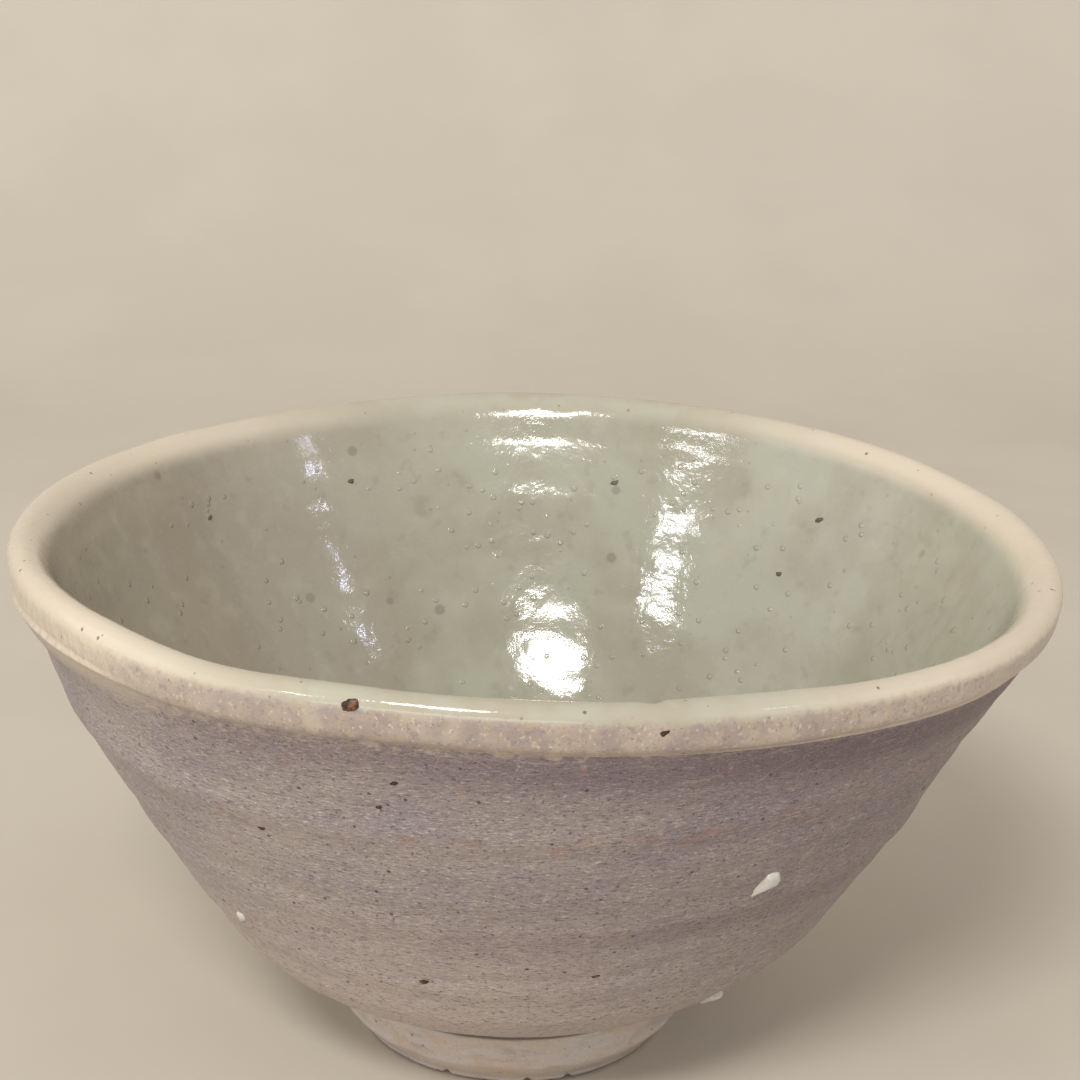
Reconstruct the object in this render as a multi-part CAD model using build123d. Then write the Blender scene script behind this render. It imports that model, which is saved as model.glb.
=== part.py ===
from build123d import *
import math
import os

# Matcha bowl: a hand-thrown stoneware tea bowl, wide and conical, with a rolled lip and a low foot.
# Millimetres, +Z up. The foot stands on Z = 0 and the mouth's box is centred on the Z axis.
# Angles round the bowl start at -Y, the side that faces the drinker, and turn towards +X.

# Overall sizes
LIP_OUTER_RADIUS = 65.0
RIM_HEIGHT = 68.2
LIP_HALF_THICKNESS = 2.0
LIP_FACE_HEIGHT = 5.7
LIP_LOWER_EDGE = (0.7, 0.9)
GLAZE = 0.5

# Outside of the wall, glaze included: (radius, height) from the foot joint up to the neck.
FOOT_HEIGHT = 9.0
OUTSIDE_WALL = [(24.0, FOOT_HEIGHT), (27.8, 10.9), (36.0, 16.0), (43.7, 26.0),
                (50.9, 38.0), (57.3, 50.0), (63.2, RIM_HEIGHT - LIP_FACE_HEIGHT)]

# Inside of the bowl, glaze included: (radius, height) from under the lip down to the flat floor.
LIP_INNER_FACE = (59.0, 63.75)
LIP_TO_INSIDE = (58.0, 61.8)
INSIDE_WALL = [LIP_TO_INSIDE, (52.1, 50.2), (45.8, 38.6), (38.0, 27.2),
               (28.6, 18.4), (17.0, 13.3), (5.0, 12.0)]

# The hand-thrown irregularity, which fades to nothing just above the floor.
EVEN_UP_TO = 13.0
OVAL = 0.8
OVAL_AT = math.radians(69)
THREE_SIDED = 1.1
THREE_SIDED_AT = math.radians(-28)
RIM_WAVE = 1.4
RIM_WAVE_AT = math.radians(-28)
RIM_TILT = 0.018

# The thrown wall wanders sideways as it rises: (height, centre X).
CENTRE_LINE = [(FOOT_HEIGHT, -1.9), (16.0, -2.0), (21.0, -1.4), (30.0, -1.6), (38.0, -1.6),
               (50.0, -2.3), (62.0, -1.3), (80.0, -1.1)]

# Foot ring
FOOT_CENTRE = (-2.1, -0.5)
FOOT_TOP_RADIUS = 22.6
FOOT_BELLY_RADIUS = 22.4
FOOT_BELLY_HEIGHT = 3.8
FOOT_EDGE_RADIUS = 19.5
FOOT_FACE_OUTER = 18.8
FOOT_FACE_INNER = 16.7
RECESS_RADIUS = 15.7
EDGE_HEIGHT = 0.7
FOOT_GLAZE = 0.4
FOOT_GLAZE_HEM = 0.9
RECESS_GLAZE_HEM = 1.5

# White beads where the glaze ran and stood up: (angle, height, radius, length down the wall)
GLAZE_BEADS = [(31.7, 41.8, 0.9, 4.6), (39, 18.3, 0.7, 3.6), (-48, 27.8, 0.6, 2.8)]
BEAD_TAIL = 0.45

# Iron grains that melted through the glaze: (angle, height, radius)
LIP_GRAINS = [(-16, 66.6, 1.1), (12.5, 65.8, 0.4)]
OUTSIDE_GRAINS = [(-12.5, 57.2, 0.4), (-14, 54.0, 0.4), (-29.5, 47.2, 0.4), (-14, 26.2, 0.5),
                  (11.5, 27.8, 0.4), (60, 46.0, 0.4), (120, 40.0, 0.5), (-120, 35.0, 0.4), (175, 48.0, 0.5)]
INSIDE_GRAINS = [(-153, 58.0, 0.5), (166, 57.0, 0.5), (131, 58.0, 0.5), (134, 49.6, 0.5), (-128, 57.0, 0.4),
                 (30, 50.0, 0.5)]
GRAIN_RISE = 0.3
SUNK = 0.1

POINTS_ROUND = 24
WALL_STATIONS = 13
LIP_STATIONS = 14
INSIDE_STATIONS = 15


def centre_x(height):
    """Sideways place of the wall's centre at a height, straight between the listed heights."""
    for (low, x_low), (high, x_high) in zip(CENTRE_LINE, CENTRE_LINE[1:]):
        if height <= high:
            share = max(0.0, (height - low) / (high - low))
            return x_low + share * (x_high - x_low)
    return CENTRE_LINE[-1][1]


def bowl_point(radius, height, angle):
    """Point of the irregular bowl that stands for (radius, height) on the ideal turned bowl."""
    rise = min(1.0, max(0.0, (height - EVEN_UP_TO) / (RIM_HEIGHT - EVEN_UP_TO)))
    spread = OVAL * math.cos(2 * (angle - OVAL_AT)) + THREE_SIDED * math.cos(3 * (angle - THREE_SIDED_AT))
    out = radius + rise ** 2 * spread
    x = centre_x(height) + out * math.sin(angle)
    wave = rise ** 2 * RIM_WAVE * math.cos(2 * (angle - RIM_WAVE_AT))
    tilt = rise * RIM_TILT * out * math.sin(angle)
    return Vector(x, -out * math.cos(angle), height + wave - tilt)


def ring(radius, height):
    """Closed curve round the bowl."""
    angles = [2 * math.pi * step / POINTS_ROUND for step in range(POINTS_ROUND)]
    return Wire([Edge.make_spline([bowl_point(radius, height, angle) for angle in angles], periodic=True)])


def along(points, count):
    """Even stations on a smooth curve through (radius, height) points."""
    curve = Edge.make_spline([Vector(radius, 0, height) for radius, height in points])
    places = [curve.position_at(step / (count - 1)) for step in range(count)]
    return [(place.X, place.Z) for place in places]


def lip_outline():
    """The rolled lip, from the neck up its outer face and over the crest to the inside."""
    centre_radius = LIP_OUTER_RADIUS - LIP_HALF_THICKNESS
    centre_height = RIM_HEIGHT - LIP_HALF_THICKNESS
    inset, rise = LIP_LOWER_EDGE
    face = [OUTSIDE_WALL[-1], (LIP_OUTER_RADIUS - inset, RIM_HEIGHT - LIP_FACE_HEIGHT + rise)]
    turns = [math.radians(degrees) for degrees in (-20, 35, 90, 130)]
    crest = [(centre_radius + LIP_HALF_THICKNESS * math.cos(turn),
              centre_height + LIP_HALF_THICKNESS * math.sin(turn)) for turn in turns]
    return face + crest + [LIP_INNER_FACE, LIP_TO_INSIDE]


def inward_offsets(stations):
    """Unit steps from the surface into the clay, level at the foot joint and upright on the floor."""
    steps = [(-1.0, 0.0)]
    for before, after in zip(stations, stations[2:]):
        across, up = after[0] - before[0], after[1] - before[1]
        length = math.hypot(across, up)
        steps.append((-up / length, across / length))
    return steps + [(0.0, -1.0)]


def layer(stations, depth):
    """Rings round the bowl on a surface that lies the given depth under the finished one."""
    return [ring(radius + depth * step[0], height + depth * step[1])
            for (radius, height), step in zip(stations, inward_offsets(stations))]


def sheet(rings, ruled=False):
    """Smooth surface through the rings."""
    return Shell.make_loft(rings, ruled).faces()


def closed_solid(faces):
    """Solid inside a closed set of faces that share their edges."""
    solid = Solid(Shell(faces))
    return solid if solid.volume > 0 else -solid


def coat(finished, clay, first, last):
    """Glaze between the finished surface and the clay, from one station to another."""
    faces = sheet(finished[first:last + 1]) + sheet(clay[first:last + 1])
    for end in (first, last):
        if end < len(clay) - 1:
            faces += sheet([finished[end], clay[end]], ruled=True)
        else:
            faces += [Face(finished[end]), Face(clay[end])]
    return closed_solid(faces)


def clay_body(rings, zones):
    """The thrown clay: one skin, zone by zone, closed by flat faces at the foot joint and the floor."""
    faces = [Face(rings[0]), Face(rings[-1])]
    for first, last in zones:
        faces += sheet(rings[first:last + 1])
    return closed_solid(faces)


def turned(outline):
    """Body turned about the foot's own axis from a closed outline of (radius, height)."""
    profile = make_face(Polyline([(radius, 0, height) for radius, height in outline], close=True))
    return Pos(FOOT_CENTRE[0], FOOT_CENTRE[1], 0) * revolve(profile, Axis.Z)


def foot_ring():
    """The kodai: a low trimmed ring with a flat standing face, luted under the bowl."""
    return turned([(FOOT_FACE_INNER, 0), (FOOT_FACE_OUTER, 0), (FOOT_EDGE_RADIUS, EDGE_HEIGHT),
                   (FOOT_BELLY_RADIUS, FOOT_BELLY_HEIGHT), (FOOT_TOP_RADIUS, FOOT_HEIGHT),
                   (RECESS_RADIUS, FOOT_HEIGHT), (RECESS_RADIUS, EDGE_HEIGHT)])


def foot_glaze():
    """Thin coat on the outside of the foot ring, wiped clear of the standing edge."""
    hem_share = (FOOT_GLAZE_HEM - EDGE_HEIGHT) / (FOOT_BELLY_HEIGHT - EDGE_HEIGHT)
    hem_radius = FOOT_EDGE_RADIUS + hem_share * (FOOT_BELLY_RADIUS - FOOT_EDGE_RADIUS)
    clay_side = [(hem_radius, FOOT_GLAZE_HEM), (FOOT_BELLY_RADIUS, FOOT_BELLY_HEIGHT),
                 (FOOT_TOP_RADIUS, FOOT_HEIGHT)]
    glaze_side = [(radius + FOOT_GLAZE, height) for radius, height in reversed(clay_side)]
    return turned(clay_side + glaze_side)


def recess_glaze():
    """Thin coat inside the foot: the recess ceiling and the ring's inner wall."""
    ceiling = FOOT_HEIGHT - FOOT_GLAZE
    inner = RECESS_RADIUS - FOOT_GLAZE
    return turned([(0, FOOT_HEIGHT), (RECESS_RADIUS, FOOT_HEIGHT), (RECESS_RADIUS, RECESS_GLAZE_HEM),
                   (inner, RECESS_GLAZE_HEM), (inner, ceiling), (0, ceiling)])


def on_wall(wall, height, angle):
    """Point of a wall at a height on its outline, straight between the listed points."""
    for (radius_a, height_a), (radius_b, height_b) in zip(wall, wall[1:]):
        if min(height_a, height_b) <= height <= max(height_a, height_b):
            share = (height - height_a) / (height_b - height_a)
            return bowl_point(radius_a + share * (radius_b - radius_a), height, angle)
    raise ValueError("height is off the wall")


def wall_plane(wall, side, angle_degrees, height):
    """Plane just under a wall's surface, X down the wall and Z out of it; side is -1 inside the bowl."""
    angle = math.radians(angle_degrees)
    place = on_wall(wall, height, angle)
    down = (on_wall(wall, height - 0.4, angle) - place).normalized()
    level = Vector(math.cos(angle), math.sin(angle), 0)
    outward = down.cross(level).normalized() * side
    return Plane(place - outward * SUNK, x_dir=down, z_dir=outward)


def glaze_bead(wall, angle, height, radius, length):
    """Drop of thick glaze lying on the outside wall, half round, with its tail down the wall."""
    tail = radius * BEAD_TAIL
    head_arc = ThreePointArc((-radius, 0), (-radius * math.sqrt(0.5), radius * math.sqrt(0.5)), (0, radius))
    end = length - radius
    tail_middle = (end - tail + tail * math.sqrt(0.5), tail * math.sqrt(0.5))
    tail_arc = ThreePointArc((end - tail, tail), tail_middle, (end, 0))
    outline = [head_arc, Line((0, radius), (end - tail, tail)), tail_arc, Line((end, 0), (-radius, 0))]
    return wall_plane(wall, 1, angle, height) * revolve(make_face(outline), Axis.X, 180)


def iron_grain(wall, side, angle, height, radius):
    """Low cap of melted iron standing on the glaze of a wall."""
    ball_radius = (radius ** 2 + GRAIN_RISE ** 2) / (2 * GRAIN_RISE)
    half_turn = math.asin(radius / ball_radius) / 2
    middle = (ball_radius * math.sin(half_turn), GRAIN_RISE - ball_radius * (1 - math.cos(half_turn)))
    outline = [Line((0, 0), (radius, 0)), ThreePointArc((radius, 0), middle, (0, GRAIN_RISE)),
               Line((0, GRAIN_RISE), (0, 0))]
    cap = revolve(Plane.XZ * make_face(outline), Axis.Z)
    return wall_plane(wall, side, angle, height) * cap


outside = along(OUTSIDE_WALL, WALL_STATIONS)
lip = along(lip_outline(), LIP_STATIONS)
inside = along(INSIDE_WALL, INSIDE_STATIONS)
stations = outside + lip[1:] + inside[1:]
neck = WALL_STATIONS - 1
brow = neck + LIP_STATIONS - 1
floor = brow + INSIDE_STATIONS - 1
zones = [(0, neck), (neck, brow), (brow, floor)]

finished = layer(stations, 0)
clay = layer(stations, GLAZE)

nodes = {
    "clay_body": clay_body(clay, zones),
    "foot_ring": foot_ring(),
    "outside_glaze": coat(finished, clay, *zones[0]),
    "lip_glaze": coat(finished, clay, *zones[1]),
    "inside_glaze": coat(finished, clay, *zones[2]),
    "foot_glaze": foot_glaze(),
    "recess_glaze": recess_glaze(),
    "glaze_beads": Compound([glaze_bead(outside, *bead) for bead in GLAZE_BEADS]),
    "iron_grains": Compound([iron_grain(lip, 1, *grain) for grain in LIP_GRAINS]
                            + [iron_grain(outside, 1, *grain) for grain in OUTSIDE_GRAINS]
                            + [iron_grain(inside, -1, *grain) for grain in INSIDE_GRAINS]),
}

os.makedirs("parts", exist_ok=True)
for name, solid in nodes.items():
    export_step(solid, "parts/" + name + ".step")
    print(name, "solids", len(solid.solids()), "volume", round(solid.volume, 1))
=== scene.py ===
import math

import bmesh
import bpy
import numpy as np
from mathutils import Matrix, Vector
from mathutils.bvhtree import BVHTree


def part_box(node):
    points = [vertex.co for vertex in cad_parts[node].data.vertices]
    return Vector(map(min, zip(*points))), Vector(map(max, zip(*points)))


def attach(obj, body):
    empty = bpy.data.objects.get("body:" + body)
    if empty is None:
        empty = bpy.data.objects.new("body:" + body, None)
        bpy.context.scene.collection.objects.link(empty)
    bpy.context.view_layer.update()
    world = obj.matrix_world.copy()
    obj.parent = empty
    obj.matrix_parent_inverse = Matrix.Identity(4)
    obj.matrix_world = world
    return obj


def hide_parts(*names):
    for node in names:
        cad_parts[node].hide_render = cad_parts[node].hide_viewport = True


# Matcha bowl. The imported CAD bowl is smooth. This script reads its surface with rays, adds the marks of
# hand throwing, glazing and firing, and builds each coat of glaze again as a closed shell that replaces
# its CAD node.
# Shapes are worked out in millimetres and turned into metres when a mesh is made.
# Turns round the bowl are in degrees from -Y, the side that faces the drinker, towards +X.

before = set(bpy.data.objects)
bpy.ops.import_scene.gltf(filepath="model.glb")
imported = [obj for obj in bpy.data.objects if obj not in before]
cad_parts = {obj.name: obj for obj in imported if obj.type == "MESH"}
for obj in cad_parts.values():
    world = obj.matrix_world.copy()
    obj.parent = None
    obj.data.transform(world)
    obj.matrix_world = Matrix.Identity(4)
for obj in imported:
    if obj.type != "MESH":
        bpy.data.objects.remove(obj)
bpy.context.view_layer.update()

MM = 0.001

# The upright line that sections are taken round, the lip's half thickness and the coats' thickness
AXIS_X = -1.6
LIP_RADIUS = 2.0
GLAZE = 0.5

# Sections read from the CAD, sections of the finished skin, and waves kept of what was read round the bowl
READ_TURNS = 64
TURNS = 720
ROUND_DETAIL = 7

# Stations along the skin, from the foot joint up the wall, over the lip and down to the middle of the floor.
# The back of a coat keeps every eighth of them.
WALL_READS, LIP_READS, INSIDE_READS = 44, 36, 44
WALL_ROWS, LIP_ROWS, INSIDE_ROWS = 118, 84, 118
BACK_STEP = 8


# ---------------------------------------------------------------- reading the CAD bowl

def ray_target(*names):
    """CAD nodes as one thing to cast rays at, in millimetres."""
    points, faces = [], []
    for name in names:
        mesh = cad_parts[name].data
        start = len(points)
        points += [vertex.co / MM for vertex in mesh.vertices]
        faces += [[start + corner for corner in face.vertices] for face in mesh.polygons]
    return BVHTree.FromPolygons(points, faces)


def hits(target, turn, rays):
    """Where rays in the half-plane at this turn meet the target, as (radius, height).
    A ray is a start and an aim."""
    side = Vector((math.sin(turn), -math.cos(turn), 0))
    axis = Vector((AXIS_X, 0, 0))
    found = []
    for start, aim in rays:
        origin = axis + side * start[0] + Vector((0, 0, start[1]))
        point = target.ray_cast(origin, side * aim[0] + Vector((0, 0, aim[1])))[0]
        if point is not None:
            found.append(((point - axis).dot(side), point.z))
    return found


def spaced(points, count):
    """The same line through (radius, height) points, with an even spacing."""
    points = np.array(points)
    steps = np.hypot(*np.diff(points, axis=0).T)
    places = np.concatenate([[0], np.cumsum(steps)])
    even = np.linspace(0, places[-1], count)
    return np.stack([np.interp(even, places, points[:, axis]) for axis in (0, 1)], axis=1)


def read_section(target, turn, tops):
    """The bowl's section at one turn: the wall, the lip and the inside, as evenly spaced points."""
    far = 100
    foot_joint = tops["foot_glaze"] + 0.02
    down = [((radius, far), (0, -1)) for radius in np.linspace(58, 66, 33)]
    crest = max(height for _, height in hits(target, turn, down))
    neck = crest - (tops["lip_glaze"] - tops["outside_glaze"])
    inner_edge = crest - (tops["lip_glaze"] - tops["inside_glaze"])
    middle = crest - LIP_RADIUS

    wall = hits(target, turn, [((far, height), (-1, 0)) for height in np.linspace(foot_joint, neck, 90)])
    face = hits(target, turn, [((far, height), (-1, 0)) for height in np.linspace(neck, middle, 24)])
    centre = (face[-1][0] - LIP_RADIUS, middle)
    rolls = [(math.cos(roll), math.sin(roll)) for roll in np.radians(np.linspace(6, 174, 40))]
    roll = hits(target, turn, [((centre[0] + 20 * across, centre[1] + 20 * up), (-across, -up))
                               for across, up in rolls])
    inner = hits(target, turn, [((0, height), (1, 0)) for height in np.linspace(middle, inner_edge, 24)])
    falls = np.radians(np.linspace(0, 90, 110))
    inside = hits(target, turn, [((0, inner_edge), (math.cos(fall), -math.sin(fall))) for fall in falls])
    return np.concatenate([spaced(wall, WALL_READS), spaced(face + roll + inner, LIP_READS),
                           spaced(inside, INSIDE_READS)])


def finer(rows, count):
    """Smooth curve through rows of values, read at more places (Catmull-Rom)."""
    place = np.linspace(0, rows.shape[1] - 1, count)
    cell = np.minimum(place.astype(int), rows.shape[1] - 2)
    part = (place - cell)[None, :, None]
    padded = np.concatenate([2 * rows[:, :1] - rows[:, 1:2], rows, 2 * rows[:, -1:] - rows[:, -2:-1]], axis=1)
    before, here, after, beyond = (padded[:, cell + step] for step in range(4))
    return here + 0.5 * part * (after - before + part * (2 * before - 5 * here + 4 * after - beyond
                                                         + part * (3 * (here - after) + beyond - before)))


def read_skin():
    """The smooth bowl as a grid of (turn, station) with (radius, height) in it."""
    coats = ("outside_glaze", "lip_glaze", "inside_glaze")
    target = ray_target(*coats)
    tops = {name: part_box(name)[1].z / MM for name in coats + ("foot_glaze",)}
    turns = 2 * math.pi * np.arange(READ_TURNS) / READ_TURNS
    read = np.array([read_section(target, turn, tops) for turn in turns])
    spectrum = np.fft.rfft(read, axis=0)[:ROUND_DETAIL]
    smooth = np.fft.irfft(spectrum, n=TURNS, axis=0) * TURNS / READ_TURNS
    ends = np.cumsum([WALL_READS, LIP_READS, INSIDE_READS])
    parts = np.split(smooth, ends[:2], axis=1)
    for part in parts:
        part[:, 1:-1] = 0.5 * part[:, 1:-1] + 0.25 * (part[:, 2:] + part[:, :-2])
    parts[0][:, -1] = parts[1][:, 0]
    parts[2][:, 0] = parts[1][:, -1]
    return [finer(part, rows) for part, rows in zip(parts, (WALL_ROWS, LIP_ROWS, INSIDE_ROWS))]


# ---------------------------------------------------------------- shape tools

def cloud(points, size, seed):
    """Smooth 3-D noise between -1 and 1 whose lumps are about size across."""
    count = 32
    lattice = np.random.default_rng(seed).uniform(-1, 1, (count, count, count))
    place = points / np.array(size)
    cell = np.floor(place).astype(int)
    part = place - cell
    part = part ** 3 * (part * (6 * part - 15) + 10)
    total = np.zeros(points.shape[:-1])
    for corner in np.ndindex(2, 2, 2):
        share = np.ones(points.shape[:-1])
        for axis in range(3):
            share = share * (part[..., axis] if corner[axis] else 1 - part[..., axis])
        index = (cell + corner) % count
        total += share * lattice[index[..., 0], index[..., 1], index[..., 2]]
    return total


def smooth_step(value, low, high):
    """0 below low, 1 above high and a smooth rise between."""
    share = np.clip((value - low) / (high - low), 0, 1)
    return share * share * (3 - 2 * share)


def around(turn, centre):
    """Signed difference of turns, in degrees."""
    return (turn - centre + 180) % 360 - 180


def bump(value, width):
    return np.exp(-(value / width) ** 2)


def placed(radius, height, turn):
    """Points in millimetres from radius, height and turn in degrees."""
    angle = np.radians(turn)
    return np.stack([AXIS_X + radius * np.sin(angle), -radius * np.cos(angle), height], axis=-1)


def grid_normals(points):
    """Outward unit normals of a grid that closes round its first axis."""
    across = np.roll(points, -1, axis=0) - np.roll(points, 1, axis=0)
    along = np.gradient(points, axis=1)
    normals = np.cross(across, along)
    length = np.linalg.norm(normals, axis=-1, keepdims=True)
    return normals / np.maximum(length, 1e-9)


# ---------------------------------------------------------------- the hand-made skin

class Skin:
    """The bowl's whole visible skin: points, normals and masks on one grid of turns by rows."""

    def __init__(self):
        wall, lip, inside = read_skin()
        self.wall = slice(0, WALL_ROWS)
        self.lip = slice(WALL_ROWS - 1, WALL_ROWS + LIP_ROWS - 1)
        self.inside = slice(WALL_ROWS + LIP_ROWS - 2, WALL_ROWS + LIP_ROWS + INSIDE_ROWS - 2)
        section = np.concatenate([wall, lip[:, 1:], inside[:, 1:]], axis=1)
        self.radius, self.height = section[..., 0], section[..., 1]
        self.turn = (360 * np.arange(TURNS) / TURNS)[:, None] + 0 * self.radius
        self.row = np.arange(section.shape[1])[None, :] + 0 * self.radius
        base = placed(self.radius, self.height, self.turn)
        normals = grid_normals(base)
        normals[:, -1] = (0, 0, 1)
        wall_part = 1 - smooth_step(self.row, self.wall.stop - 8, self.wall.stop + 8)
        inside_part = smooth_step(self.row, self.inside.start - 20, self.inside.start + 12)
        self.parts = {"wall": wall_part, "inside": inside_part, "lip": 1 - wall_part - inside_part}
        self.crest = self.height[:, self.lip].max(axis=1, keepdims=True)
        self.low = self.crest - self.height
        top_row = WALL_ROWS - 1 + np.argmax(self.height[:, self.lip], axis=1)[:, None]
        self.inner_side = smooth_step(self.row - top_row, -6, 10)
        broad = broad_marks(self, base)
        self.core = base + normals * (broad - GLAZE)[..., None]
        self.points = base + normals * (broad + fine_marks(self, base))[..., None]
        shift = neck_fill(self)
        shift[..., 2] = rim_wander(self)
        self.points += shift
        self.core += shift
        self.normals = grid_normals(self.points)
        self.normals[:, -1] = (0, 0, 1)


def rim_wander(skin):
    """Upward shift of the rim in millimetres, where the hand pressed or let it rise."""
    near_rim = 1 - smooth_step(skin.low, 4, 26)
    left_dip = -1.0 * bump(around(skin.turn, -32), 13)
    right_rise = 0.5 * bump(around(skin.turn, 32), 22)
    far_dip = -0.4 * bump(around(skin.turn, -140), 25)
    crest = 1 - smooth_step(skin.low, 0.6, 3.0)
    step = smooth_step(around(skin.turn, 13), -0.4, 0.8) * smooth_step(around(skin.turn, 13), 26, 4)
    nick = 0.3 * step - 0.45 * bump(around(skin.turn, 12.4), 0.9)
    return near_rim * (left_dip + right_rise + far_dip) + crest * skin.inner_side * nick


def throwing_rings(skin, pitch, depth, phase):
    """Finger grooves that climb round the bowl, uneven along their way."""
    wander = 0.35 * cloud(placed(skin.radius, skin.height, skin.turn), (40, 40, 30), 5)
    climb = skin.height / pitch - skin.turn / 360 + wander
    return depth * np.sin(2 * math.pi * climb + phase)


def outside_swells(skin, base):
    """Throwing rings and soft swellings of the outside wall."""
    rings = throwing_rings(skin, 8.5, 0.08, 0.6) + throwing_rings(skin, 5.2, 0.055, 2.0)
    lumps = 0.10 * cloud(base, (26, 26, 9), 11) + 0.06 * cloud(base, (14, 14, 4), 12)
    # Left side: a soft groove that slants down from the lip, with a light ridge under it
    slant = skin.height - (55 - 0.06 * around(skin.turn, -48))
    groove = 0.35 * bump(slant + 4.5, 3.2) - 0.45 * bump(slant - 1.0, 2.6)
    left = bump(around(skin.turn, -52), 20) * groove
    # Soft ridges across the lower right
    ridges = np.zeros(skin.radius.shape)
    for turn, height, size in ((30, 31.5, 0.16), (44, 24.0, 0.2), (52, 38.0, 0.15)):
        line = skin.height - (height + 0.05 * around(skin.turn, turn))
        ridges += size * bump(line, 1.6) * bump(around(skin.turn, turn), 18)
    # Thin lines that a wooden rib left low on the wall
    ribs = np.zeros(skin.radius.shape)
    wander = 0.5 * cloud(base, (16, 16, 40), 15)
    for turn, height, reach, size in ((0, 27.0, 26, 0.13), (14, 20.5, 28, 0.12), (-10, 14.5, 26, 0.12),
                                      (28, 35.0, 22, 0.1), (150, 24.0, 40, 0.12), (-120, 31.0, 36, 0.12)):
        line = skin.height - (height + 0.03 * around(skin.turn, turn)) + wander
        ribs -= size * bump(line, 0.55) * bump(around(skin.turn, turn), reach)
    fade = smooth_step(skin.height, 9, 18) * smooth_step(skin.low, 6, 12)
    return fade * (rings + lumps + ridges + ribs) + left


def neck_fill(skin):
    """On the left the lip has no lower edge: the wall swells straight out to meet it, as points to add."""
    left = smooth_step(around(skin.turn, -42), 12, -14) * smooth_step(around(skin.turn, -150), -40, 10)
    under_lip = smooth_step(skin.low, 4.6, 5.7) * smooth_step(skin.low, 11.5, 5.7)
    fill = 1.1 * left * under_lip * (1 - skin.inner_side)
    angle = np.radians(skin.turn)
    return fill[..., None] * np.stack([np.sin(angle), -np.cos(angle), 0 * angle], axis=-1)


def broad_marks(skin, base):
    """Outward push in millimetres that the clay itself has."""
    inside_waves = throwing_rings(skin, 7.0, 0.014, 1.1) + 0.09 * cloud(base, (16, 16, 7), 13)
    inside_swells = smooth_step(skin.radius, 6, 26) * inside_waves
    flat_right = -0.7 * bump(around(skin.turn, 80), 40) * bump(skin.height - 12.5, 5) * (skin.height > 6)
    return (skin.parts["wall"] * (outside_swells(skin, base) + flat_right)
            + skin.parts["inside"] * inside_swells
            + skin.parts["lip"] * 0.12 * cloud(base, (12, 12, 6), 14))


def pits(skin, seed, count, heights, spread, sizes, part):
    """Small sunken pits at random turns near a height, as depth in millimetres."""
    random = np.random.default_rng(seed)
    depth = np.zeros(skin.radius.shape)
    for _ in range(count):
        turn, height = random.uniform(0, 360), random.uniform(*heights)
        height += spread * math.sin(math.radians(turn * 2))
        size = random.uniform(*sizes)
        rows = np.abs(skin.height - height) < 3 * size
        near = rows & (np.abs(around(skin.turn, turn)) * np.radians(1) * skin.radius < 5 * size) & part
        across = around(skin.turn[near], turn) * math.radians(1) * skin.radius[near]
        depth[near] += size * 0.3 * np.exp(-(across / (1.6 * size)) ** 2
                                           - ((skin.height[near] - height) / (0.8 * size)) ** 2)
    return depth


def fine_marks(skin, base):
    """Outward push in millimetres of the glaze's own surface: pits, wrinkles and ripples."""
    wall, lip, inside = skin.parts["wall"], skin.parts["lip"], skin.parts["inside"]
    marks = wall * (0.035 * cloud(base, (2.4, 2.4, 0.9), 21) + 0.025 * cloud(base, (1.3, 1.3, 0.6), 22))
    marks += lip * (0.03 * cloud(base, (3.5, 3.5, 2.0), 23) + 0.008 * cloud(base, 1.1, 24))
    floor_fade = smooth_step(skin.radius, 4, 14)
    marks += inside * floor_fade * (0.024 * cloud(base, (4.5, 4.5, 2.6), 25) + 0.016 * cloud(base, 2.2, 26))
    on_wall, on_inside = wall > 0.9, inside > 0.9
    skin.pit = pits(skin, 31, 90, (48.6, 51.0), 0.8, (0.3, 0.6), on_wall)
    skin.pit += pits(skin, 32, 130, (12, 58), 0, (0.25, 0.5), on_wall)
    marks -= skin.pit
    marks -= 0.35 * pits(skin, 33, 150, (20, 60), 0, (0.35, 0.6), on_inside)
    return marks


# ---------------------------------------------------------------- meshes

def new_piece(name, points, faces, material, nodes=(), normals=None, masks=None):
    """A smooth mesh piece from points in millimetres that rides on the bowl."""
    mesh = bpy.data.meshes.new(name)
    mesh.from_pydata((np.asarray(points) * MM).tolist(), [], faces)
    mesh.polygons.foreach_set("use_smooth", np.ones(len(mesh.polygons), dtype=bool))
    for mask, values in (masks or {}).items():
        attribute = mesh.attributes.new(mask, "FLOAT", "POINT")
        attribute.data.foreach_set("value", np.asarray(values, dtype=np.float32))
    if normals is not None:
        mesh.normals_split_custom_set_from_vertices(normals.tolist())
    mesh.materials.append(material)
    piece = bpy.data.objects.new(name, mesh)
    bpy.context.scene.collection.objects.link(piece)
    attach(piece, "root")
    if nodes:
        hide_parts(*nodes)
    return piece


def ring_faces(rows, count, closed):
    """Quads between rings of count points that follow one another."""
    faces = []
    last = rows if closed else rows - 1
    for row in range(last):
        here, there = row * count, (row + 1) % rows * count
        for step in range(count):
            after = (step + 1) % count
            faces.append((here + step, here + after, there + after, there + step))
    return faces


def by_rows(*grids):
    """Grids of (turn, row) joined into one list that goes row by row."""
    joined = np.concatenate([np.swapaxes(grid, 0, 1) for grid in grids])
    return joined.reshape(-1, *joined.shape[2:])


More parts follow.
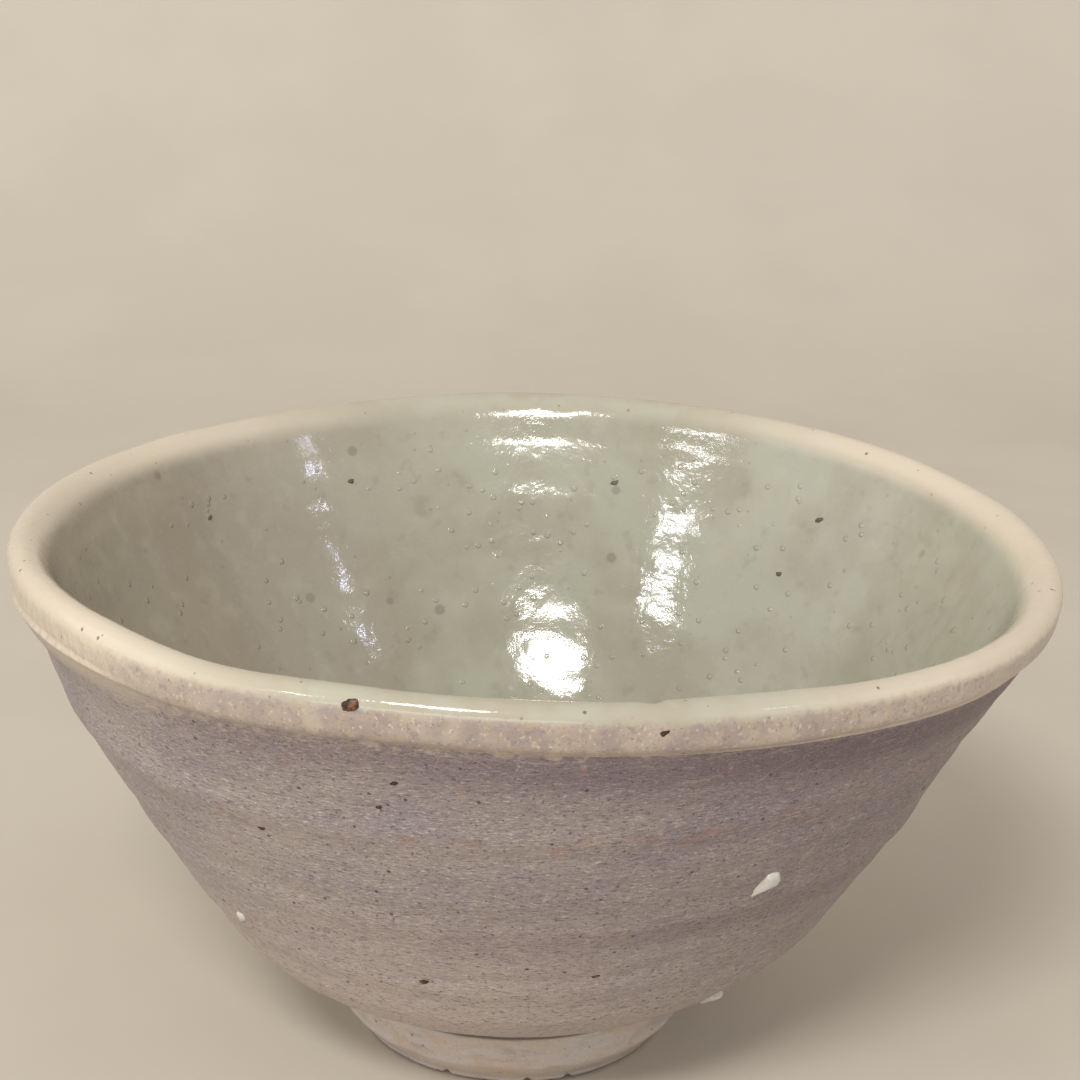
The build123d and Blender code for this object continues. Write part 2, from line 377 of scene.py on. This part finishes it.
def shell(name, skin, rows, material, nodes, masks, filled=False):
    """One coat of glaze: the fine skin in front, a coarser back against the clay, closed at its edges.
    A filled coat ends in a point at the middle of the floor."""
    front = skin.points[:, rows]
    normals = skin.normals[:, rows]
    back_rows = np.unique(np.append(np.arange(0, front.shape[1], BACK_STEP), front.shape[1] - 1))[::-1]
    back = skin.core[:, rows][:, back_rows]
    back_normals = -normals[:, back_rows]
    if filled:
        front, normals = front[:, :-1], normals[:, :-1]
        back, back_normals = back[:, 1:], back_normals[:, 1:]
    points = by_rows(front, back)
    directions = by_rows(normals, back_normals)
    ring_count = front.shape[1] + back.shape[1]
    values = {}
    for mask, grid in masks.items():
        part = grid[:, rows]
        whole = part[:, :front.shape[1]]
        behind = part[:, back_rows[1:]] if filled else part[:, back_rows]
        values[mask] = by_rows(whole, behind)
    if not filled:
        faces = ring_faces(ring_count, TURNS, True)
        return new_piece(name, points, faces, material, nodes, directions, values)
    fronts = front.shape[1]
    first = ring_faces(fronts, TURNS, False)
    second = [tuple(corner + fronts * TURNS for corner in face)
              for face in ring_faces(back.shape[1], TURNS, False)]
    top, under = len(points), len(points) + 1
    middle = skin.points[:, rows][:, -1].mean(axis=0)
    points = np.concatenate([points, [middle, middle - (0, 0, GLAZE)]])
    directions = np.concatenate([directions, [(0, 0, 1), (0, 0, -1)]])
    for mask in values:
        values[mask] = np.append(values[mask], [values[mask][-1]] * 2)
    last_front, first_back = (fronts - 1) * TURNS, fronts * TURNS
    last_back = (ring_count - 1) * TURNS
    caps = []
    for step in range(TURNS):
        after = (step + 1) % TURNS
        caps.append((last_front + step, last_front + after, top))
        caps.append((first_back + after, first_back + step, under))
        caps.append((last_back + step, last_back + after, after, step))
    return new_piece(name, points, first + second + caps, material, nodes, directions, values)


def clay_core(skin, material):
    """The clay inside the glaze, closed flat under its floor."""
    step = 2
    rows = np.unique(np.append(np.arange(0, skin.core.shape[1] - 1, 6), skin.core.shape[1] - 2))
    grid = np.swapaxes(skin.core[::step, rows], 0, 1)
    count = grid.shape[1]
    points = grid.reshape(-1, 3)
    middle = skin.core[:, -1].mean(axis=0)
    floor = middle * (1, 1, 0) + (0, 0, grid[0, 0, 2])
    top, under = len(points), len(points) + 1
    faces = ring_faces(len(rows), count, False)
    last = (len(rows) - 1) * count
    for turn in range(count):
        after = (turn + 1) % count
        faces.append((last + turn, last + after, top))
        faces.append((after, turn, under))
    points = np.concatenate([points, [middle, floor]])
    return new_piece("clay_core", points, faces, material, ["clay_body"])


# ---------------------------------------------------------------- materials

def colour(red, green, blue):
    """Linear colour from screen values of 0 to 255."""
    def linear(value):
        value /= 255
        return value / 12.92 if value <= 0.04045 else ((value + 0.055) / 1.055) ** 2.4
    return (linear(red), linear(green), linear(blue), 1)


class Paint:
    """A material and short ways to add the nodes it needs. Sizes are in millimetres."""

    def __init__(self, name, roughness, coat=0.0, specular=0.5):
        self.material = bpy.data.materials.new(name)
        self.material.use_nodes = True
        self.tree = self.material.node_tree
        self.shader = self.tree.nodes["Principled BSDF"]
        self.shader.inputs["Roughness"].default_value = roughness
        self.shader.inputs["Coat Weight"].default_value = coat
        self.shader.inputs["Coat Roughness"].default_value = 0.12
        self.shader.inputs["Specular IOR Level"].default_value = specular
        self.places = self.tree.nodes.new("ShaderNodeTexCoord").outputs["Object"]

    def connect(self, source, socket):
        if hasattr(source, "is_output"):
            self.tree.links.new(source, socket)
        else:
            socket.default_value = source

    def place(self, size, squeeze=1.0):
        """Object places in units of size, with lumps squeezed in height."""
        node = self.tree.nodes.new("ShaderNodeMapping")
        node.inputs["Scale"].default_value = (1 / (size * MM), 1 / (size * MM), squeeze / (size * MM))
        self.connect(self.places, node.inputs["Vector"])
        return node.outputs["Vector"]

    def noise(self, size, squeeze=1.0, detail=3.0, rough=0.55, shift=0.0):
        """Cloudy values near 0.5."""
        node = self.tree.nodes.new("ShaderNodeTexNoise")
        node.noise_dimensions = "4D"
        node.inputs["W"].default_value = shift
        node.inputs["Scale"].default_value = 1.0
        node.inputs["Detail"].default_value = detail
        node.inputs["Roughness"].default_value = rough
        self.connect(self.place(size, squeeze), node.inputs["Vector"])
        return node.outputs["Fac"]

    def cells(self, size, squeeze=1.0, feature="F1"):
        """Distance to the nearest of scattered points, and a random value of that point."""
        node = self.tree.nodes.new("ShaderNodeTexVoronoi")
        node.feature = feature
        node.inputs["Scale"].default_value = 1.0
        self.connect(self.place(size, squeeze), node.inputs["Vector"])
        if feature != "F1":
            return node.outputs["Distance"], None
        split = self.tree.nodes.new("ShaderNodeSeparateColor")
        self.connect(node.outputs["Color"], split.inputs["Color"])
        return node.outputs["Distance"], split.outputs["Red"]

    def rise(self, value, low, high):
        """0 at low, 1 at high. Low may be the larger one."""
        node = self.tree.nodes.new("ShaderNodeMapRange")
        node.interpolation_type = "SMOOTHSTEP"
        node.inputs["From Min"].default_value = low
        node.inputs["From Max"].default_value = high
        self.connect(value, node.inputs["Value"])
        return node.outputs["Result"]

    def math(self, operation, first, second):
        node = self.tree.nodes.new("ShaderNodeMath")
        node.operation = operation
        self.connect(first, node.inputs[0])
        self.connect(second, node.inputs[1])
        return node.outputs[0]

    def times(self, first, second):
        return self.math("MULTIPLY", first, second)

    def plus(self, first, second):
        return self.math("ADD", first, second)

    def mix(self, share, first, second, blend="MIX"):
        node = self.tree.nodes.new("ShaderNodeMix")
        node.data_type = "RGBA"
        node.blend_type = blend
        self.connect(share, node.inputs[0])
        self.connect(first, node.inputs[6])
        self.connect(second, node.inputs[7])
        return node.outputs[2]

    def layer(self, below, share, strength, above):
        """A colour laid over another where share is high."""
        return self.mix(self.times(share, strength), below, above)

    def clouds(self, size, squeeze, shift, first, second):
        """Two colours in soft clouds."""
        return self.mix(self.rise(self.noise(size, squeeze, shift=shift), 0.38, 0.62), first, second)

    def mask(self, name):
        node = self.tree.nodes.new("ShaderNodeAttribute")
        node.attribute_name = name
        return node.outputs["Fac"]

    def specks(self, size, radius, share, squeeze=1.0):
        """Round dots of up to a radius, at that share of the scattered points."""
        distance, chance = self.cells(size, squeeze)
        dot = self.rise(distance, radius / size, 0.55 * radius / size)
        return self.times(dot, self.math("GREATER_THAN", chance, 1 - share))

    def bumps(self, *layers):
        """Bump from (height, millimetres) layers."""
        normal = None
        for height, depth in layers:
            node = self.tree.nodes.new("ShaderNodeBump")
            node.inputs["Distance"].default_value = depth * MM
            node.inputs["Strength"].default_value = 1.0
            self.connect(height, node.inputs["Height"])
            if normal is not None:
                self.connect(normal, node.inputs["Normal"])
            normal = node.outputs["Normal"]
        self.connect(normal, self.shader.inputs["Normal"])

    def finish(self, base, roughness=None):
        self.connect(base, self.shader.inputs["Base Color"])
        if roughness is not None:
            self.connect(roughness, self.shader.inputs["Roughness"])
        return self.material


def outside_paint():
    """Satin grey-lavender ash glaze: wrinkled, streaked, with dark specks and warm flecks, with painted shade
    and painted light laid on it.
    """
    paint = Paint("outside_glaze_skin", 0.45)
    base = paint.clouds(18, 1.6, 1, colour(149, 138, 141), colour(163, 151, 147))
    # Painted shade: darker, more purple colour on the right side and under the lip's roll, plus a darker belt
    # across the front at about 35 mm.
    base = paint.mix(paint.mask("shade"), base, colour(112, 95, 101))
    # Painted light: the lower wall is painted paler towards the foot, less so on the shaded right side.
    base = paint.mix(paint.mask("pale"), base, colour(184, 170, 162))
    streak = paint.noise(2.6, 5, 3, 0.6, 2)
    base = paint.layer(base, paint.rise(streak, 0.54, 0.68), 0.3, colour(184, 171, 158))
    base = paint.layer(base, paint.rise(streak, 0.46, 0.34), 0.3, colour(112, 98, 102))
    wrinkle = paint.noise(0.8, 3.2, 4, 0.65, 4)
    # Pale wrinkles and white flecks are held back where shade is painted.
    calm = paint.math("SUBTRACT", 1, paint.mask("shade"))
    base = paint.layer(base, paint.times(paint.rise(wrinkle, 0.55, 0.66), calm), 0.9, colour(204, 191, 179))
    base = paint.layer(base, paint.rise(wrinkle, 0.45, 0.34), 0.75, colour(84, 71, 75))
    line = paint.noise(2.0, 7, 2, 0.5, 11)
    base = paint.layer(base, paint.rise(line, 0.6, 0.67), 0.4, colour(96, 82, 84))
    grain = paint.noise(0.3, 1.6, 2, 0.6, 9)
    base = paint.layer(base, paint.rise(grain, 0.56, 0.7), 0.35, colour(202, 190, 178))
    base = paint.layer(base, paint.rise(grain, 0.45, 0.3), 0.65, colour(86, 76, 78))
    white = paint.specks(1.5, 0.3, 0.25, 2.4)
    base = paint.layer(base, paint.times(white, calm), 0.6, colour(214, 203, 192))
    base = paint.layer(base, paint.specks(2.6, 0.45, 0.25, 1.8), 0.4, colour(188, 138, 108))
    base = paint.layer(base, paint.specks(1.0, 0.2, 0.45), 0.75, colour(70, 68, 76))
    base = paint.layer(base, paint.specks(1.9, 0.28, 0.3), 0.85, colour(52, 48, 54))
    base = paint.layer(base, paint.specks(6, 0.4, 0.35), 0.9, colour(48, 36, 28))
    base = paint.layer(base, paint.mask("stain"), 0.8, colour(176, 112, 74))
    cream = paint.plus(paint.times(paint.noise(1.8, 1.4, shift=10), 0.5), paint.mask("cream"))
    base = paint.layer(base, paint.rise(cream, 0.45, 1.2), 0.85, colour(190, 178, 160))
    spill = paint.plus(paint.noise(1.3, 1, 3, 0.6, 5), paint.mask("spill"))
    base = paint.layer(base, paint.rise(spill, 0.9, 1.1), 0.8, colour(182, 165, 150))
    crack, _ = paint.cells(7, 1.4, "DISTANCE_TO_EDGE")
    base = paint.layer(base, paint.rise(crack, 0.012, 0.003), 0.12, colour(205, 192, 180))
    # Painted shade: dark brown along the foot joint and a short way up the wall, where the wall's overhang
    # shades it.
    base = paint.layer(base, paint.mask("joint_shade"), 0.85, colour(62, 46, 42))
    paint.bumps((wrinkle, 0.2), (grain, 0.07), (white, 0.05))
    return paint.finish(base, paint.plus(0.34, paint.times(paint.noise(2.2, 2, shift=8), 0.22)))


def lip_paint():
    """Glossy cream over the crest, a speckled beige face and the inside's colour on the way down to it."""
    paint = Paint("lip_glaze_skin", 0.2, coat=0.15)
    cream = paint.clouds(6, 1, 1, colour(182, 178, 159), colour(178, 169, 149))
    cream = paint.mix(paint.mask("warm"), cream, colour(222, 207, 186))
    face = paint.clouds(2.6, 1, 2, colour(172, 156, 142), colour(158, 144, 138))
    face = paint.layer(face, paint.rise(paint.noise(5, 0.8, shift=10), 0.48, 0.62), 0.5,
                       colour(192, 179, 160))
    face = paint.mix(paint.times(paint.mask("warm"), 0.45), face, colour(204, 190, 171))
    face = paint.layer(face, paint.rise(paint.noise(0.9, 0.6, shift=3), 0.55, 0.67), 0.35,
                       colour(190, 156, 126))
    face = paint.layer(face, paint.rise(paint.noise(0.7, 0.7, shift=4), 0.55, 0.66), 0.5,
                       colour(134, 124, 126))
    face = paint.layer(face, paint.rise(paint.noise(0.5, 0.8, shift=5), 0.57, 0.68), 0.65,
                       colour(210, 196, 178))
    face = paint.layer(face, paint.rise(paint.noise(0.3, 1, shift=8), 0.58, 0.7), 0.6, colour(112, 100, 96))
    ragged = paint.plus(paint.mask("face"), paint.times(paint.noise(1.1, 1, shift=9), 0.8))
    base = paint.mix(paint.rise(ragged, 0.5, 1.15), cream, face)
    base = paint.layer(base, paint.specks(1.6, 0.22, 0.3), 0.5, colour(112, 104, 98))
    base = paint.layer(base, paint.specks(2.6, 0.3, 0.3), 0.75, colour(76, 72, 72))
    base = paint.layer(base, paint.specks(3.6, 0.34, 0.3), 0.6, colour(164, 112, 74))
    base = paint.mix(paint.mask("inner"), base, inside_colour(paint))
    paint.bumps((paint.noise(1.6, shift=6), 0.05), (paint.noise(0.5, shift=7), 0.02))
    shine = paint.plus(0.06, paint.times(paint.noise(4, shift=5), 0.08))
    return paint.finish(base, paint.plus(shine, paint.times(paint.mask("face"), 0.22)))


def inside_colour(paint):
    """Olive-grey glaze with soft clouds and faint dark spots under it."""
    base = paint.clouds(14, 1, 1, colour(173, 172, 153), colour(165, 159, 140))
    base = paint.mix(paint.mask("brown"), base, colour(156, 144, 126))
    base = paint.layer(base, paint.rise(paint.noise(5, shift=2), 0.5, 0.7), 0.25, colour(186, 181, 161))
    base = paint.layer(base, paint.rise(paint.noise(3.2, shift=3), 0.56, 0.72), 0.25, colour(132, 123, 104))
    base = paint.layer(base, paint.rise(paint.noise(0.8, shift=6), 0.56, 0.7), 0.12, colour(194, 189, 172))
    base = paint.layer(base, paint.specks(6.5, 1.0, 0.3), 0.4, colour(106, 98, 82))
    return paint.layer(base, paint.specks(2.6, 0.3, 0.3), 0.3, colour(108, 100, 84))


def inside_paint():
    """Glossy glaze of the inside, with bubbles that break up reflections."""
    paint = Paint("inside_glaze_skin", 0.12, coat=0.15)
    bubbles = paint.specks(2.0, 0.5, 0.4)
    paint.bumps((paint.noise(2.2, shift=4), 0.07), (bubbles, 0.12))
    return paint.finish(inside_colour(paint), paint.plus(0.06, paint.times(paint.noise(4, shift=5), 0.08)))


def foot_paint():
    """Cream and peach glaze in soft clouds round the foot."""
    paint = Paint("foot_glaze_skin", 0.35, coat=0.1)
    base = paint.clouds(5, 2, 1, colour(190, 180, 174), colour(192, 177, 162))
    base = paint.layer(base, paint.rise(paint.noise(4, 3, shift=2), 0.5, 0.68), 0.45, colour(146, 134, 136))
    base = paint.layer(base, paint.rise(paint.noise(5, 2, shift=3), 0.52, 0.68), 0.45,
                       colour(188, 156, 134))
    base = paint.layer(base, paint.rise(paint.noise(0.7, 1.6, shift=7), 0.54, 0.68), 0.5,
                       colour(206, 196, 184))
    base = paint.layer(base, paint.rise(paint.noise(0.4, 1.4, shift=8), 0.58, 0.7), 0.45,
                       colour(128, 116, 112))
    base = paint.layer(base, paint.specks(1.6, 0.25, 0.35), 0.6, colour(96, 86, 82))
    # Painted shade: the top of the foot, under the wall's overhang, is darkened.
    base = paint.layer(base, paint.mask("joint_shade"), 0.85, colour(62, 46, 42))
    paint.bumps((paint.noise(1.2, 4, shift=4), 0.08), (paint.noise(0.4, 2, shift=5), 0.03))
    return paint.finish(base, paint.plus(0.24, paint.times(paint.noise(3, 2, shift=6), 0.2)))


def stoneware_paint():
    """Bare fired clay with grog."""
    paint = Paint("bare_stoneware", 0.85, specular=0.3)
    base = paint.mix(paint.rise(paint.noise(3, shift=1), 0.4, 0.6),
                     colour(168, 140, 112), colour(146, 116, 92))
    base = paint.mix(paint.times(paint.specks(1.6, 0.4, 0.4), 0.7), base, colour(196, 176, 152))
    base = paint.mix(paint.times(paint.specks(2.2, 0.35, 0.4), 0.8), base, colour(70, 52, 42))
    paint.bumps((paint.noise(0.8, shift=2), 0.12), (paint.noise(0.3, shift=3), 0.05))
    return paint.finish(base)


def bead_paint():
    """White run glaze that stands up in drops."""
    paint = Paint("white_bead_glaze", 0.18, coat=0.4)
    base = paint.mix(paint.rise(paint.noise(1.2, shift=1), 0.4, 0.62),
                     colour(198, 194, 186), colour(184, 174, 164))
    paint.bumps((paint.noise(0.8, shift=2), 0.03))
    return paint.finish(base)


def iron_paint():
    """Dark iron melt with rusty parts, veiled where the inside's glaze lies over it."""
    paint = Paint("iron_melt", 0.42)
    base = paint.mix(paint.rise(paint.noise(0.7, shift=1), 0.44, 0.62),
                     colour(42, 31, 24), colour(116, 74, 40))
    base = paint.mix(paint.mask("veiled"), base, colour(106, 98, 80))
    paint.bumps((paint.noise(0.4, shift=2), 0.05))
    return paint.finish(base)


# ---------------------------------------------------------------- pieces

def left_side(skin):
    """1 where the cream of the lip runs down over the wall."""
    return smooth_step(around(skin.turn, -38), 12, -12) * smooth_step(around(skin.turn, -140), -40, 10)


def wall_masks(skin):
    """Where the outside glaze has painted shade or is painted paler, and where it is stained or mixed with
    the lip's cream.
    """
    right = smooth_step(around(skin.turn, 30), -60, 25) * (1 - smooth_step(around(skin.turn, 30), 80, 130))
    under_lip = bump(skin.low - 8.0, 3.2) * (1 - 0.8 * left_side(skin))
    belt = bump(skin.height - 35, 2.2) * smooth_step(np.abs(around(skin.turn, 20)), 60, 20)
    # Painted shade: the right side and the band under the lip's roll are darkened as if in shadow; the belt
    # is a darker band across the front at about 35 mm.
    shade = np.clip(0.5 * right + 0.6 * under_lip + 0.35 * belt, 0, 1)
    stain = np.clip(2.5 * skin.pit * smooth_step(np.abs(skin.height - 50), 2.5, 0.5), 0, 0.6)
    cream = left_side(skin) * (1 - smooth_step(skin.low, 5.5, 11.5))
    edge = skin.low[:, skin.wall.stop - 1][:, None]
    reach = 2.6 + 4.5 * smooth_step(around(skin.turn, -20), 10, -25)
    spill = 0.5 * (1 - smooth_step((skin.low - edge) / reach, 0, 1))
    spill *= smooth_step(around(skin.turn, 40), 12, -40)
    # Painted light: paler towards the foot, less on the right side that is in shade.
    pale = 0.95 * smooth_step(skin.height, 46, 14) * (1 - 0.6 * right)
    # Painted shade along the foot joint: a dark band about where the wall's lower curve hides the foot, and
    # darker still right at the joint.
    joint_shade = 0.6 * (1 - smooth_step(skin.row, 6, 9)) + 0.4 * (1 - smooth_step(skin.row, 1, 3))
    return {"shade": shade, "pale": pale, "stain": stain, "cream": cream, "spill": spill, "joint_shade": joint_shade}


def lip_masks(skin):
    """Where the lip is speckled, turns to the inside's colour, or is warmer and paler."""
    face = (1 - skin.inner_side) * smooth_step(skin.low, 0.5, 3.0) * (1 - 0.6 * left_side(skin))
    inner = skin.inner_side * smooth_step(skin.low, 0.9, 3.6)
    sides = np.abs(around(skin.turn, 0))
    warm = 0.85 * smooth_step(sides, 12, 50) * smooth_step(sides, 165, 125)
    return {"face": face, "inner": inner, "warm": warm, "brown": brown_side(skin)}


def brown_side(skin):
    """1 where the inside's glaze turns brown."""
    return 0.8 * smooth_step(np.abs(around(skin.turn, -100)), 75, 30)


def inside_masks(skin):
    return {"brown": brown_side(skin)}


def foot_coat(material):
    """Glaze round the foot ring, from a wavy hem up to where it meets the wall, with the turning tool's marks
    in it and painted shade at its top.
    """
    low, high = (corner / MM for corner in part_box("foot_glaze"))
    centre = (low + high) / 2
    target = ray_target("foot_glaze")
    rows, count, thick = 44, 480, 0.35
    turns = (360 * np.arange(count) / count)[:, None]
    share = np.linspace(0, 1, rows)[None, :]
    hem = low.z - 0.55 + 0.12 * cloud(placed(0 * turns + 20, 0 * turns, turns), 7, 41)
    for turn in (-24, 6, 21):
        hem += 0.5 * bump(around(turns, turn), 1.3)
    height = hem + (high.z + 0.02 - hem) * share
    reads = np.linspace(low.z + 0.1, high.z - 0.1, 24)
    out = Vector((1, 0, 0))
    radii = [(target.ray_cast(centre + out * 60 + Vector((0, 0, z - centre.z)), -out)[0] - centre).x
             for z in reads]
    radii[1:-1] = [(before + here + after) / 3 for before, here, after in zip(radii, radii[1:], radii[2:])]
    radius = np.interp(height, reads, radii)
    points = placed(radius, height, turns + 0 * radius)
    waist = low.z + 0.45 * (high.z - low.z)
    tooled = (-0.16 * bump(height - waist, 0.5) - 0.1 * bump(height - waist - 1.8, 0.35)
              + 0.05 * cloud(points, (6, 6, 0.8), 42) + 0.03 * cloud(points, 1.2, 43))
    rounded = -0.6 * thick * bump(share, 0.05) - 0.45 * bump(share - 1, 0.04)
    front = placed(radius + tooled + rounded, height, turns + 0 * radius)
    back = placed(radius - thick - 0.25, height, turns + 0 * radius)[:, ::-6]
    shift = np.array([centre.x - AXIS_X, centre.y, 0])
    grid = np.swapaxes(np.concatenate([front, back], axis=1), 0, 1) + shift
    faces = ring_faces(len(grid), count, True)
    # Painted shade: the top of the foot coat darkens under the wall's overhang.
    joint_shade = smooth_step(grid[..., 2], high.z - 1.3, high.z - 0.9)
    return new_piece("foot_coat", grid.reshape(-1, 3), faces, material, ["foot_glaze"],
                     masks={"joint_shade": joint_shade.reshape(-1)})


def parts_of(name, reach):
    """Corner points of each separate lump of a CAD node, in millimetres."""
    points = np.array([vertex.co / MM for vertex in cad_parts[name].data.vertices])
    lumps = []
    while len(points):
        near = np.linalg.norm(points - points[0], axis=1) < reach
        lumps.append(points[near])
        points = points[~near]
    return lumps


def drop(points, skin, size, slant, uneven, seed):
    """A smooth irregular drop of glaze on the skin over a CAD lump: its points in millimetres, its faces
    and whether it lies inside the bowl. Size is its length, width and rise. A drop longer than wide has a
    round head and tapers down the wall, turned by slant degrees."""
    middle = points.mean(axis=0)
    flat = skin.points.reshape(-1, 3)
    nearest = np.argmin(((flat - middle) ** 2).sum(axis=1))
    centre, normal = Vector(flat[nearest]), Vector(skin.normals.reshape(-1, 3)[nearest])
    down = Vector((0, 0, -1)) - normal * normal.dot(Vector((0, 0, -1)))
    down = Matrix.Rotation(math.radians(slant), 3, normal) @ down.normalized()
    side = normal.cross(down)
    shape = bmesh.new()
    bmesh.ops.create_icosphere(shape, subdivisions=4, radius=1)
    ball = np.array([vertex.co for vertex in shape.verts])
    faces = [[corner.index for corner in face.verts] for face in shape.faces]
    shape.free()
    length, width, rise = size
    long = length > 1.4 * width
    thin = smooth_step(ball[:, 0], -0.3, 0.9) * long
    stretch = np.where(ball[:, 0] > 0, 1.35, 0.65) if long else 1
    lumpy = 1 + uneven * cloud(ball + seed, 0.9, seed) + 0.5 * uneven * cloud(ball, 0.4, seed + 1)
    along = (ball[:, 0] * stretch * lumpy - 0.6 * long) * length / 2
    across = ball[:, 1] * lumpy * width / 2 * (1 - 0.6 * thin)
    up = ball[:, 2] * lumpy * rise * (1 - 0.35 * thin)
    place = np.array(centre) + np.outer(along, down) + np.outer(across, side) + np.outer(up, normal)
    return place, faces, skin.parts["inside"].reshape(-1)[nearest]


def drops_piece(name, node, skin, material, reach, shape, most, slant, uneven):
    """All drops of one CAD node as one piece of closed lumps. Shape gives the length, width and rise of a
    drop as shares of its CAD lump's largest size, which counts as no more than most."""
    points, faces, veiled = [], [], []
    for seed, part in enumerate(parts_of(node, reach)):
        largest = min(max(np.linalg.norm(part - part.mean(axis=0), axis=1)) * 2, most)
        size = [share * largest for share in shape]
        place, ball, inside = drop(part, skin, size, slant, uneven, 50 + seed)
        faces += [[corner + len(points) for corner in face] for face in ball]
        points += place.tolist()
        veiled += [0.75 * inside] * len(place)
    return new_piece(name, points, faces, material, [node], masks={"veiled": veiled})


def build_bowl():
    skin = Skin()
    stoneware, foot = stoneware_paint(), foot_paint()
    clay_core(skin, stoneware)
    shell("outside_coat", skin, skin.wall, outside_paint(), ["outside_glaze"],
          wall_masks(skin))
    shell("lip_coat", skin, skin.lip, lip_paint(), ["lip_glaze"], lip_masks(skin))
    shell("inside_coat", skin, skin.inside, inside_paint(), ["inside_glaze"],
          inside_masks(skin), filled=True)
    foot_coat(foot)
    drops_piece("white_beads", "glaze_beads", skin, bead_paint(), reach=5.5,
                shape=(0.85, 0.52, 0.18), most=9, slant=-38, uneven=0.14)
    drops_piece("iron_melts", "iron_grains", skin, iron_paint(), reach=2.4,
                shape=(0.65, 1.0, 0.13), most=1.7, slant=15, uneven=0.4)
    for name, material in (("foot_ring", stoneware), ("recess_glaze", foot)):
        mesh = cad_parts[name].data
        for slot in range(len(mesh.materials)):
            mesh.materials[slot] = material


# ---------------------------------------------------------------- studio

def studio_paint():
    paint = Paint("pale_floor", 0.8, specular=0.2)
    base = paint.mix(paint.rise(paint.noise(60, shift=1), 0.4, 0.6),
                     colour(208, 199, 184), colour(205, 196, 181))
    return paint.finish(base)


def floor_and_backdrop():
    """A pale sheet that lies flat under the bowl and curves up behind it."""
    width, front, back, bend, top = 1.6, -0.9, 0.55, 0.25, 1.0
    line = [(front, 0.0), (back - bend, 0.0)]
    for step in range(1, 25):
        angle = math.pi / 2 * step / 24
        line.append((back - bend + bend * math.sin(angle), bend - bend * math.cos(angle)))
    line.append((back, top))
    points = [(side * width, y, z) for y, z in line for side in (-1, 1)]
    faces = [(2 * i, 2 * i + 1, 2 * i + 3, 2 * i + 2) for i in range(len(line) - 1)]
    mesh = bpy.data.meshes.new("floor")
    mesh.from_pydata(points, [], faces)
    mesh.polygons.foreach_set("use_smooth", np.ones(len(faces), dtype=bool))
    mesh.materials.append(studio_paint())
    floor = bpy.data.objects.new("floor", mesh)
    bpy.context.scene.collection.objects.link(floor)


def soft_light(name, bearing, rise, far, size, power, tint):
    """A soft light that faces the bowl from far away, in metres and watts. Bearing and rise are in degrees:
    the bearing turns from +Y, behind the bowl, towards +X."""
    light = bpy.data.lights.new(name, "AREA")
    light.shape = "ELLIPSE"
    light.size, light.size_y = size
    light.energy = power
    light.color = tint
    turn, climb = math.radians(bearing), math.radians(rise)
    aim = Vector((math.sin(turn) * math.cos(climb), math.cos(turn) * math.cos(climb), math.sin(climb)))
    lamp = bpy.data.objects.new(name, light)
    lamp.location = Vector((0, 0, 0.05)) + aim * far
    lamp.rotation_euler = (-aim).to_track_quat("-Z", "Y").to_euler()
    bpy.context.scene.collection.objects.link(lamp)


def lights():
    soft_light("ceiling_panel", -165, 45, 1.2, (0.4, 0.2), 7.6, (1.0, 0.99, 0.95))
    soft_light("left_window", -130, 30, 1.4, (0.24, 0.07), 1.2, (0.94, 0.97, 1.0))
    soft_light("left_fill", -95, 15, 1.3, (1.6, 1.1), 3.0, (1.0, 0.99, 1.0))
    soft_light("front_fill", -168, 7, 1.2, (1.3, 0.25), 2.4, (1.0, 0.98, 0.99))
    soft_light("right_fill", 110, 25, 1.3, (1.4, 0.9), 1.4, (1.0, 0.98, 0.96))
    soft_light("right_window", 118, 36, 1.4, (0.05, 0.07), 0.3, (0.72, 0.74, 1.0))
    world = bpy.data.worlds.new("studio")
    bpy.context.scene.world = world
    world.use_nodes = True
    world.node_tree.nodes["Background"].inputs["Color"].default_value = (1.0, 0.985, 0.975, 1)
    world.node_tree.nodes["Background"].inputs["Strength"].default_value = 0.52


def camera():
    """The photograph's viewing angle: a long lens near the bowl, looking down a little."""
    data = bpy.data.cameras.new("camera")
    data.lens, data.sensor_width = 78.0, 36.0
    data.clip_start = 0.01
    pitch, roll, yaw = 0.313, 0.022, 0.008
    across = Vector((math.cos(yaw), -math.sin(yaw), 0))
    level = Vector((math.sin(yaw), math.cos(yaw), 0))
    forward = level * math.cos(pitch) - Vector((0, 0, math.sin(pitch)))
    up = level * math.sin(pitch) + Vector((0, 0, math.cos(pitch)))
    right = across * math.cos(roll) + up * math.sin(roll)
    top = up * math.cos(roll) - across * math.sin(roll)
    turned = Matrix((right, top, -forward)).transposed().to_4x4()
    holder = bpy.data.objects.new("camera", data)
    holder.matrix_world = Matrix.Translation(Vector((-0.0020, -0.2812, 0.1568))) @ turned
    bpy.context.scene.collection.objects.link(holder)
    bpy.context.scene.camera = holder


build_bowl()
floor_and_backdrop()
lights()
camera()
bpy.context.scene.view_settings.view_transform = "Standard"
